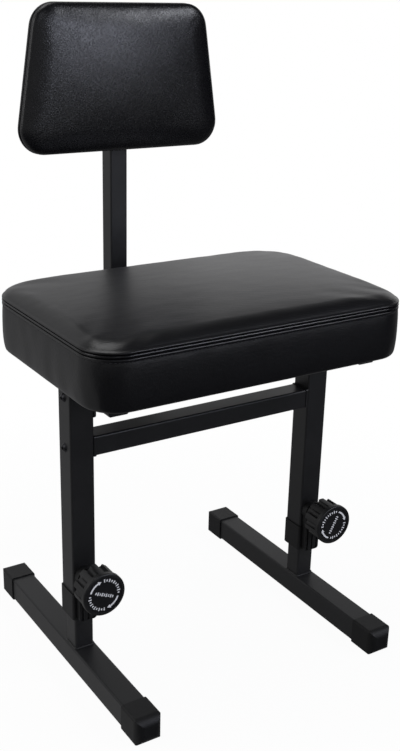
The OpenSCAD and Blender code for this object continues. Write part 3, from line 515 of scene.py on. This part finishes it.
seat_points, seat_faces, seat_ring_total = closed_cushion(seat_place, seat_out, seat_profile, *seat_steps)
print("seat:", np.round(2 * half_w / MM), "x", np.round(2 * half_d / MM), "mm,", len(seat_profile), "rings")

# %% [markdown]
# ## The seat's sag and tucks
# A used cover isn't even. It is fullest in the middle, sags at the corners, creases across the top, and bunches
# into short tucks where the side band was eased round the corners.

# %% Relax and swell the seat


def ramp(distance, start, length):
    """0 up to the start, 1 from start + length, straight between."""
    return np.clip((distance - start) / length, 0, 1)


def relax_seat(points):
    """Adds what sewing and sitting give: a crown (1 - x^2)^1.2 (1 - y^2)^1.2 over the top, a fuller shoulder towards
    the back, long shallow creases across the top, pull lines that fade away from the seam, short tucks on the side
    band, deeper at the corners, and a hem that hangs a little at the front."""
    moved = points.copy()
    x, y, z = points.T
    flat = np.clip(1 - (x / half_w) ** 2, 0, 1) * np.clip(1 - (y / half_d) ** 2, 0, 1)
    on_top = ramp(z, roll_top, seat_top - roll_top)
    edge = np.minimum(half_w - abs(x), half_d - abs(y))
    moved[:, 2] += on_top * crown_rise * flat ** 1.2
    sag = ramp(abs(x), half_w - 80 * MM, 60 * MM) * ramp(abs(y), half_d - 80 * MM, 60 * MM)
    moved[:, 2] -= on_top * 2.4 * MM * sag
    behind = ramp(y, -0.6 * half_d, 0.9 * half_d) ** 2
    moved[:, 2] += 0.4 * behind * np.interp(z, slope_rings[:, 1], full_heights - slope_rings[:, 1])
    creases = waves(points, 3, 17 * MM, lean=(0.35, 1.0, 0.0))
    moved[:, 2] += on_top * 0.08 * MM * creases * ramp(edge, 0, 40 * MM)
    pull = waves(points, 5, 26 * MM) * (1 - ramp(edge, 4 * MM, 34 * MM))
    moved[:, 2] += on_top * 0.15 * MM * pull
    corner = ramp(abs(x), half_w - 62 * MM, 45 * MM) * ramp(abs(y), half_d - 62 * MM, 45 * MM)
    band = ramp(z, 0, 6 * MM) * ramp(-z, -60 * MM, 10 * MM) * (z < piping_height)
    tucks = 0.30 * waves(points, 8, 30 * MM, lean=(1, 1, 0.35)) + 0.55 * corner * waves(
        points, 9, 15 * MM, lean=(1, 1, 0.45))
    hem = ramp(-z, -7 * MM, 5 * MM) * (np.hypot(x / half_w, y / half_d) > 0.8)
    moved[:, 2] -= hem * 1.1 * MM * ramp(-y, half_d - 45 * MM, 35 * MM)
    length = np.maximum(np.hypot(x, y), 1e-9)
    moved[:, :2] -= (band * MM * tucks / length)[:, None] * points[:, :2]
    return moved


def outer_skin(points, ring, ring_total, steps):
    """Says which points are seen: all but the first five rings and the grid below, which lie against the board."""
    seen = np.ones(len(points), bool)
    seen[:5 * len(ring)] = False
    seen[ring_total:ring_total + (steps[0] - 1) * (steps[1] - 1)] = False
    return seen


outside = outer_skin(seat_points, seat_place, seat_ring_total, seat_steps)
seat_relaxed = np.where(outside[:, None], relax_seat(seat_points), seat_points)
seat_cushion = make_piece(
    "seat_cushion", seat_relaxed + np.append(seat_middle[:2], seat_low[2]), seat_faces,
    "seat_frame", leatherette, ("seat_cover", "seat_foam"))
seam_zone = (seat_points[:, 2] > 58 * MM) & (seat_points[:, 2] < roll_top)
seat_held = np.flatnonzero(~outside | seam_zone | (seat_points[:, 2] < 3 * MM))
swell(seat_cushion, seat_held)
round_off(seat_cushion)

# %% [markdown]
# ## The piping
# Piping is a cord wrapped in a strip of the cover. It is a tube carried along the seam: a circle in the plane of
# the outward direction and up, with a little unevenness where the strip was eased round the corners.

# %% Piping


def carry_tube(path, out, up, radius, sides=12):
    """A closed tube: path + radius (cos v out + sin v up), for v round the circle. path and out are (n, 3), radius is
    (n,) and up is one direction."""
    v = 2 * math.pi * np.arange(sides) / sides
    ring = np.cos(v)[None, :, None] * out[:, None] + np.sin(v)[None, :, None] * np.array(up)
    points = path[:, None] + radius[:, None, None] * ring
    return points.reshape(-1, 3), ring_quads(len(path), sides, closed_rings=True)


def lift(flat, heights):
    """Turns (n, 2) plan points and heights into (n, 3) points."""
    return np.concatenate([flat, np.broadcast_to(np.asarray(heights, float), (len(flat),))[:, None]], axis=1)


UP, FORWARD = (0.0, 0.0, 1.0), (0.0, -1.0, 0.0)
pipe_place, pipe_out = walk_outline(seat_corners, (150, 110, 150, 110))
pipe_path = lift(pipe_place - 0.8 * MM * pipe_out + seat_middle[:2], seat_low[2] + piping_height)
pipe_radius = 1.6 * MM + 0.05 * MM * waves(pipe_path, 12, 20 * MM)
points, faces = carry_tube(pipe_path, lift(pipe_out, 0.0), UP, pipe_radius)
make_piece("seat_piping", points, [faces], "seat_frame", piping_leatherette)

# %% [markdown]
# ## The backrest's section
# The backrest is a thinner pad on its own board. A narrow side band meets the front panel in a stitched seam that
# shows as a dark line, and the panel rolls over it and swells to a soft crown. The pad is worked out lying on its
# back, with its height along y and its front up, and then stood up.

# %% Backrest section
pad_low, pad_high = np.array(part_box("backrest_cover"))
pad_board_low, pad_board_high = np.array(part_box("backrest_board"))
pad_h = pad_high[2] - pad_low[2]
pad_depth = pad_high[1] - pad_low[1]
wide_low, wide_top = 153.8 * MM, 124.3 * MM  # half widths at the lower and the upper edge
pad_round = 33 * MM
pad_shoulder, pad_crown = 30 * MM, 11 * MM  # a shoulder wider than pad_round would fold at the corners
pad_steps = (60, 40)
lean = math.atan((wide_low - wide_top) / pad_h)
low_x = wide_low - pad_round * math.tan(lean) - pad_round / math.cos(lean)
top_x = wide_low - (pad_h - pad_round) * math.tan(lean) - pad_round / math.cos(lean)
tilt = math.degrees(lean)
pad_corners = [(-low_x, pad_round, pad_round, 180 - tilt, 270), (low_x, pad_round, pad_round, 270, 360 + tilt),
               (top_x, pad_h - pad_round, pad_round, 360 + tilt, 450),
               (-top_x, pad_h - pad_round, pad_round, 450, 540 - tilt)]
pad_place, pad_out = walk_outline(pad_corners, pad_steps * 2)
pad_inset = pad_board_low[2] - pad_low[2] - 0.4 * MM
pad_board_top = pad_high[1] - pad_board_low[1] + 0.1 * MM
pad_hem_top = pad_high[1] - pad_board_high[1]
pad_hem = 24 * MM
pad_side = np.array([  # inset and depth in millimetres, from the hem forward to the roll of the front panel
    [4.4, 0.0], [2.2, 0.3], [0.9, 1.0], [0.3, 2.0], [0.0, 3.2], [-0.1, 4.2], [0.3, 5.1], [1.3, 5.8], [3.2, 6.3],
    [4.2, 6.9], [4.2, 7.6], [3.2, 8.2], [1.4, 8.7], [0.5, 9.4]]) * MM
pad_profile = np.concatenate([
    [[pad_inset, pad_board_top], [pad_inset, pad_hem_top + 0.05 * MM], [pad_hem, pad_hem_top + 0.05 * MM],
     [pad_hem + 0.4 * MM, 0.6 * MM], [pad_hem, 0], [15 * MM, 0], [9 * MM, 0]],
    pad_side,
    shoulder_profile(0.3 * MM, pad_shoulder, 10.4 * MM, pad_depth - pad_crown, 18)])
pad_points, pad_faces, pad_ring_total = closed_cushion(pad_place, pad_out, pad_profile, *pad_steps)
print("backrest:", np.round(2 * wide_low / MM), "x", np.round(pad_h / MM), "mm,", len(pad_profile), "rings")

# %% [markdown]
# ## The backrest's crown
# Its front panel is stretched tight over the foam: a crown, faint pull lines along the seam and little else.

# %% Relax and swell the backrest


def relax_pad(points):
    """Adds a crown (1 - x^2) (1 - y^2), fullest in the middle, faint pull lines round the seam and soft waves."""
    moved = points.copy()
    x, y, z = points.T
    width = wide_low - y * math.tan(lean)
    flat = np.clip(1 - (x / width) ** 2, 0, 1) * np.clip(1 - (2 * y / pad_h - 1) ** 2, 0, 1)
    on_front = ramp(z, 11 * MM, 14 * MM)
    edge = np.minimum(width - abs(x), np.minimum(y, pad_h - y))
    moved[:, 2] += on_front * pad_crown * flat
    pull = waves(points, 21, 24 * MM) * (1 - ramp(edge, 4 * MM, 28 * MM))
    moved[:, 2] += on_front * (0.30 * MM * pull + 0.16 * MM * waves(points, 22, 45 * MM))
    return moved


def stand_up(points):
    """Stands the pad on its lower edge: x stays, y becomes the height, and the depth runs forward from the back."""
    return np.stack([points[:, 0], pad_high[1] - points[:, 2], pad_low[2] + points[:, 1]], axis=1)


pad_outside = outer_skin(pad_points, pad_place, pad_ring_total, pad_steps)
pad_relaxed = np.where(pad_outside[:, None], relax_pad(pad_points), pad_points)
backrest_cushion = make_piece(
    "backrest_cushion", stand_up(pad_relaxed), pad_faces, "seat_frame", pad_leatherette,
    ("backrest_cover", "backrest_foam"))
pad_held = np.flatnonzero(~pad_outside | (pad_points[:, 2] < 9.5 * MM))
swell(backrest_cushion, pad_held)
round_off(backrest_cushion)

# %% [markdown]
# ## Stitches and staples
# The stitches are short lengths of thread, each a small closed spindle laid along the seam. The cover is stapled to
# the board from below and behind, every 25 mm or so, and there is none where a tube lies in the way.

# %% Stitches and staples


def spindle(length, radius, rings=5, sides=6):
    """A closed spindle along x: radius sqrt(sin a) round x = -length/2 cos(a), for a from 0 to 180 degrees."""
    a = np.pi * np.arange(1, rings + 1) / (rings + 1)
    x = np.repeat(-length / 2 * np.cos(a), sides)
    r = np.repeat(radius * np.sin(a) ** 0.5, sides)
    around = np.tile(2 * np.pi * np.arange(sides) / sides, rings)
    points = np.stack([x, r * np.cos(around), r * np.sin(around)], axis=1)
    points = np.concatenate([points, [[-length / 2, 0, 0], [length / 2, 0, 0]]])
    low, high, last = rings * sides, rings * sides + 1, (rings - 1) * sides
    k = np.arange(sides)
    onward = (k + 1) % sides
    quads = ring_quads(rings, sides)
    ends = np.concatenate([np.stack([np.full(sides, low), onward, k, k], axis=1),
                           np.stack([np.full(sides, high), last + k, last + onward, last + onward], axis=1)])
    return points, np.concatenate([quads, ends])


def lay_row(name, shape, faces, at, out, material, slot, standing=False):
    """Lays copies of a shape along a row, each turned to the walk, and stands them up where the pad stands. Quads
    whose last two corners are one point become triangles."""
    up, outward = np.broadcast_to(UP, at.shape), lift(out, 0.0)
    points, quads = copies(shape, faces, (at, np.cross(up, outward), up, outward))
    short = quads[:, 2] == quads[:, 3]
    parts = [quads[~short], quads[short][:, :3]]
    if standing:
        points, parts = stand_up(points), [part[:, ::-1] for part in parts]
    make_piece(name, points, parts, "seat_frame", material)


def staple_row(corners, counts, inset, keep):
    """Places for staples along an outline, inset from it, where keep says that nothing is in the way."""
    place, out = walk_outline(corners, counts)
    place = place - inset * out
    free = keep(place)
    return place[free], out[free]


stitch = spindle(3.4 * MM, 0.35 * MM)
place, out = walk_outline(seat_corners, (88, 60, 84, 60))
stitch_at = lift(place + 0.15 * MM * out + seat_middle[:2], seat_low[2] + 58.4 * MM)
lay_row("seat_stitches", *stitch, stitch_at, out, thread, "black_fabric")
place, out = walk_outline(pad_corners, (60, 36, 48, 36))
lay_row("backrest_stitches", *stitch, lift(place - 3.0 * MM * out, 7.2 * MM), out, thread, "black_fabric", True)

staple_shape, staple_faces = spindle(10 * MM, 0.6 * MM)
staple_shape[:, 1] *= 0.55  # flat wire
zinc = finishes["zinc_steel"]
post_room = 24 * MM  # no staple closer than this to the middle, where a tube lies
place, out = staple_row(seat_corners, (16, 11, 15, 11), 17 * MM,
                        lambda p: ~((abs(p[:, 0]) < post_room) & (p[:, 1] > 0)))
staple_at = lift(place + seat_middle[:2], seat_low[2] - 0.15 * MM)
lay_row("seat_staples", staple_shape, staple_faces, staple_at, out, zinc, "zinc_steel")
place, out = staple_row(pad_corners, (12, 7, 9, 7), 14 * MM, lambda p: abs(p[:, 0]) > post_room)
lay_row("backrest_staples", staple_shape, staple_faces, lift(place, -0.15 * MM), out, zinc, "zinc_steel", True)

# %% [markdown]
# ## Weld beads
# The inner posts are welded to the feet and the backrest's post to its arm. A hand-laid bead is a tube in the
# corner with a ripple every 2 mm or so, under the same powder coat.

# %% Weld beads


def square_walk(half, count):
    """A closed walk round a square with slightly round corners, as (n, 2) places and outward directions."""
    r = 2.5 * MM
    c = half - r
    corners = [(-c, -c, r, 180, 270), (c, -c, r, 270, 360), (c, c, r, 360, 450), (-c, c, r, 450, 540)]
    return walk_outline(corners, (count,) * 4)


def ripple(path, seed):
    """The bead's radius: 1.9 mm with a ripple every 2.2 mm of its length and a slow unevenness."""
    run = np.concatenate([[0], np.cumsum(np.linalg.norm(np.diff(path, axis=0), axis=1))])
    return (1.9 + 0.18 * np.cos(2 * math.pi * run / (2.2 * MM))) * MM + 0.12 * MM * waves(path, seed, 15 * MM)


bead_steps, bead_sides = 56, 8
for seed, side in enumerate(("left", "right")):
    post_low, post_high = np.array(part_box(f"{side}_inner_post"))
    middle = (post_low + post_high)[:2] / 2
    place, out = square_walk((post_high - post_low)[0] / 2, bead_steps)
    path = lift(place + middle, post_low[2])
    points, faces = carry_tube(path, lift(out, 0.0), UP, ripple(path, 31 + seed), bead_sides)
    make_piece(f"{side}_post_weld", points, [faces], f"{side}_foot", steel_coat)

arm_low, arm_high = np.array(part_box("backrest_arm"))
place, out = square_walk((arm_high - arm_low)[0] / 2, bead_steps)
centre_z = (arm_high + arm_low)[2] / 2
path = np.stack([place[:, 0], np.full(len(place), arm_high[1]), place[:, 1] + centre_z], axis=1)
outward = np.stack([out[:, 0], np.zeros(len(out)), out[:, 1]], axis=1)
points, faces = carry_tube(path, outward, FORWARD, ripple(path, 33), bead_sides)
make_piece("arm_weld", points, [faces], "seat_frame", steel_coat)

# %% [markdown]
# ## The marks on the knobs
# Each knob carries a disc with plain marks in white screen ink: two curved arrows for turning, a row of ticks on
# either side between them, and a short scale across the middle.

# %% Knob marks


def band_mark(radius, width, start, end, head=0.0):
    """The outline of a curved bar: out along the outer arc and back along the inner one, in degrees. With a head the
    bar ends in an arrow that is as long as the head says, also in degrees."""
    a = np.radians(np.linspace(start, end, max(3, int(abs(end - start) / 6) + 2)))
    arc = np.stack([np.cos(a), np.sin(a)], axis=1)
    outer, inner = (radius + width / 2) * arc, (radius - width / 2) * arc
    if not head:
        return np.concatenate([outer, inner[::-1]])
    tip = math.radians(end + head)
    point = radius * np.array([[math.cos(tip), math.sin(tip)]])
    barb = 1.25 * width
    return np.concatenate([outer, (radius + barb) * arc[-1:], point, (radius - barb) * arc[-1:], inner[::-1]])


def bar_mark(x, y, width, height):
    """The outline of a small upright bar with its middle at (x, y)."""
    return np.array([x, y]) + np.array([[-1, -1], [1, -1], [1, 1], [-1, 1]]) * [width / 2, height / 2]


def knob_outlines():
    """Two arrows of 59 degrees across from each other, ticks every 10.5 degrees between them, and a row of bars, in
    millimetres."""
    radius, arrow_width, arrow_head = 19.6, 2.2, -13
    marks = [band_mark(radius, arrow_width, start, start - 46, arrow_head) for start in (184, 4)]
    ticks = [start + 10.5 * k for start in (16, 196) for k in range(10)]
    marks += [band_mark(radius, 4.2 if k % 2 else 2.8, a, a + 4.4) for k, a in enumerate(ticks)]
    marks += [bar_mark(x, 0.0, 1.5, 4.6 if k % 2 else 3.2) for k, x in enumerate(np.arange(-12.4, 12.5, 3.1))]
    return marks


def raised_marks(outlines, turn, centre, thickness):
    """Closed prisms: each outline in millimetres is turned, laid on the disc's front and given a thickness."""
    points, faces, first = [], [], 0
    c, s = math.cos(math.radians(turn)), math.sin(math.radians(turn))
    for outline in outlines:
        flat = outline * MM @ np.array([[c, s], [-s, c]])
        count = len(flat)
        back = np.stack([centre[0] + flat[:, 0], np.full(count, centre[1]), centre[2] + flat[:, 1]], axis=1)
        points += [back, back - [0, thickness, 0]]
        k = np.arange(count)
        onward = (k + 1) % count
        faces.append([list(first + k)[::-1]])
        faces.append([list(first + count + k)])
        faces.append(np.stack([first + k, first + onward, first + count + onward, first + count + k], axis=1))
        first += 2 * count
    return np.concatenate(points), faces


for side, turn in (("left", -24), ("right", 62)):
    disc_low, disc_high = np.array(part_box(f"{side}_knob_disc"))
    centre = (disc_low + disc_high) / 2
    centre[1] = disc_low[1] + 0.02 * MM
    points, faces = raised_marks(knob_outlines(), turn, centre, 0.12 * MM)
    marks = make_piece(f"{side}_knob_marks", points, faces, f"{side}_knob_body", knob_ink)
    for polygon in marks.data.polygons:
        polygon.use_smooth = False

# %% [markdown]
# ## Camera
# The photograph was taken with a lens of about 51 mm, from the front and to the left, looking down by 20 degrees.

# %% Camera
camera = bpy.data.objects.new("camera", bpy.data.cameras.new("camera"))
bpy.context.scene.collection.objects.link(camera)
camera.data.lens = 51.05
camera.data.sensor_width = 36.0
camera.data.clip_start = 0.05
camera.data.clip_end = 60.0
yaw, pitch, roll = (math.radians(v) for v in (32.76, 20.45, 1.43))
ahead = np.array([math.sin(yaw) * math.cos(pitch), math.cos(yaw) * math.cos(pitch), -math.sin(pitch)])
level_right = np.array([math.cos(yaw), -math.sin(yaw), 0.0])
level_up = np.cross(level_right, ahead)
right = math.cos(roll) * level_right + math.sin(roll) * level_up
upward = np.cross(right, ahead)
turned = np.stack([right, upward, -ahead], axis=1)
eye = (-0.6949, -1.1087, 0.8503)
camera.matrix_world = Matrix.Translation(eye) @ Matrix(turned.tolist()).to_4x4()
bpy.context.scene.camera = camera
print("camera:", round(camera.data.lens, 2), "mm lens")

# %% [markdown]
# ## Lamps
# The photograph has a plain white ground and soft light. A low softbox at the front right makes the glow on the
# backrest, a higher one draws the bright lines on the piping, and a weak one above the camera does that round the
# near corner. One to the left and one overhead fill the rest.

# %% Lamps


def add_lamp(name, place, aim, size, power, colour=(1, 1, 1)):
    """A large soft lamp at a place, turned towards a point."""
    lamp = bpy.data.objects.new(name, bpy.data.lights.new(name, "AREA"))
    bpy.context.scene.collection.objects.link(lamp)
    lamp.data.shape = "RECTANGLE"
    lamp.data.size, lamp.data.size_y = size
    lamp.data.energy = power
    lamp.data.color = colour
    lamp.location = place
    lamp.rotation_euler = (Vector(aim) - Vector(place)).to_track_quat("-Z", "Y").to_euler()


add_lamp("left_softbox", (-2.6, 0.4, 1.6), (0, 0, 0.4), (1.6, 1.8), 14)
add_lamp("low_softbox", (1.1, -2.7, 1.2), (0, 0, 0.7), (0.9, 0.8), 16, (0.82, 0.85, 1.0))
add_lamp("high_softbox", (1.7, -1.8, 2.1), (0, 0, 0.5), (0.8, 0.7), 20, (0.9, 0.92, 1.0))
add_lamp("camera_softbox", (-0.7, -2.3, 2.1), (0, 0, 0.4), (0.8, 0.6), 2.5, (0.9, 0.92, 1.0))
add_lamp("top_softbox", (-0.4, 0.6, 3.2), (0, 0, 0.3), (1.8, 1.8), 26)

# %% [markdown]
# ## A white ground
# The camera, reflections and glass see plain white where nothing stands. The light that bounces off the walls is
# kept apart from that, because a white room would flatten the black surfaces.

# %% World


def add_plane(name, corners, material):
    """One quad through four corners, in metres, as part of the stage."""
    mesh = bpy.data.meshes.new(name)
    mesh.from_pydata(corners, [], [(0, 1, 2, 3)])
    mesh.materials.append(material)
    plane = bpy.data.objects.new(name, mesh)
    bpy.context.scene.collection.objects.link(plane)
    return plane


def flat_card(x0, x1, y0, y1, z=0.001):
    """Corners of a plane that lies just above the floor, or at another height."""
    return [(x0, y0, z), (x1, y0, z), (x1, y1, z), (x0, y1, z)]


def seen_rays(tree):
    """1 for the rays that have to see the white ground: the camera's, reflected and refracted ones."""
    rays = add_node(tree, "ShaderNodeLightPath").outputs
    shine = add_node(tree, "ShaderNodeMath", {0: rays["Is Glossy Ray"], 1: rays["Is Transmission Ray"]},
                     operation="MAXIMUM")
    return add_node(tree, "ShaderNodeMath", {0: rays["Is Camera Ray"], 1: shine}, operation="MAXIMUM")


world = bpy.data.worlds.new("studio")
bpy.context.scene.world = world
world.use_nodes = True
tree = world.node_tree
tree.nodes.clear()
white = add_node(tree, "ShaderNodeBackground", {"Color": (1, 1, 1, 1)})
walls = add_node(tree, "ShaderNodeBackground", {"Color": linear("#b9bcc2"), "Strength": 0.5})
room = add_node(tree, "ShaderNodeMixShader", {0: seen_rays(tree), 1: walls, 2: white})
add_node(tree, "ShaderNodeOutputWorld", {"Surface": room})
print("world:", world.name)

# %% [markdown]
# ## Floor
# A white paper sweep. Near the feet it is a matt white that takes their shadow, and further out it turns to plain
# white, so that its far edge doesn't show.

# %% Floor
paper, tree, place = start_material("white_paper_sweep")
matt = add_node(tree, "ShaderNodeBsdfDiffuse", {"Color": linear("#f2f2f2")})
glow = add_node(tree, "ShaderNodeEmission", {"Color": (1, 1, 1, 1)})
far = add_node(tree, "ShaderNodeVectorMath", {0: place}, operation="LENGTH")
fade = add_node(tree, "ShaderNodeMapRange", {"Value": far.outputs["Value"], "From Min": 0.3, "From Max": 0.9,
                                             "To Min": 0.96, "To Max": 1.0}, interpolation_type="SMOOTHSTEP")
share = add_node(tree, "ShaderNodeMath", {0: seen_rays(tree), 1: fade}, operation="MULTIPLY")
sweep = add_node(tree, "ShaderNodeMixShader", {0: share, 1: matt, 2: glow})
add_node(tree, "ShaderNodeOutputMaterial", {"Surface": sweep})
reach = 14.0
add_plane("floor", flat_card(-reach, reach, -reach, reach, 0), paper)
print("floor:", 2 * reach, "m square")

# %% [markdown]
# ## Cards for the shine
# Black satin shows mostly what it reflects. Photographers stand black and grey cards round such an object, out of
# the picture, to give each side its own tone. Only the shine of the object sees these. The mats lie on the floor.

# %% Cards
front, back, ceiling = -3.4, 4, 3.6
under_seat = -0.221  # the front edge of the bench, where the mats before and behind it meet


def wide_card(x0, x1, y, z0, z1):
    """Corners of a card that stands across the view."""
    return [(x0, y, z0), (x1, y, z0), (x1, y, z1), (x0, y, z1)]


def side_card(x, y0, y1):
    """Corners of a card that stands at the side, from the floor to the ceiling."""
    return [(x, y0, 0), (x, y1, 0), (x, y1, ceiling), (x, y0, ceiling)]


cards = (
    ("front_card", wide_card(0, 5, front, 0.7, ceiling), "#141415"),
    ("foot_card", wide_card(0, 5, front, 0.3, 0.7), "#2c2c2d"),
    ("camera_card", wide_card(-5, 0, front, 0, 2.0), "#949495"),
    ("camera_high_card", wide_card(-5, 0, front, 2.0, ceiling), "#444445"),
    ("far_mat", flat_card(-5, 5, front, -2.4), "#242425"),
    ("dark_mat", flat_card(-5, 5, -2.4, -1.3), "#1a1a1b"),
    ("near_mat", flat_card(-5, 5, -1.3, under_seat), "#363637"),
    ("right_card", side_card(3.2, front, 1.0), "#141415"),
    ("left_card", side_card(-3.4, front, back), "#909091"),
    ("left_mat", flat_card(-5, -0.16, under_seat, back), "#949495"),
    ("rear_mat", flat_card(-0.16, 5, under_seat, back), "#747475"),
    ("back_card", wide_card(-5, 2.4, back, 0, 2.2), "#bcbcbd"),
    ("back_right_card", wide_card(2.4, 6, back, 0, 2.2), "#e6e6e7"),
    ("high_card", wide_card(-5, 6, back, 2.2, ceiling), "#c8c8c9"),
    ("ceiling_card", flat_card(-5, 6, front, 1.2, ceiling), "#3a3a3b"),
    ("ceiling_back_card", flat_card(-5, 6, 1.2, back, ceiling), "#7c7c7d"))
for name, corners, colour in cards:
    card_paper, tree, place = start_material(name + "_paper")
    glow = add_node(tree, "ShaderNodeEmission", {"Color": linear(colour)})
    add_node(tree, "ShaderNodeOutputMaterial", {"Surface": glow})
    card = add_plane(name, corners, card_paper)
    card.visible_camera = card.visible_diffuse = card.visible_shadow = card.visible_transmission = False
bpy.context.scene.view_settings.view_transform = "Standard"
print("cards:", len(cards))
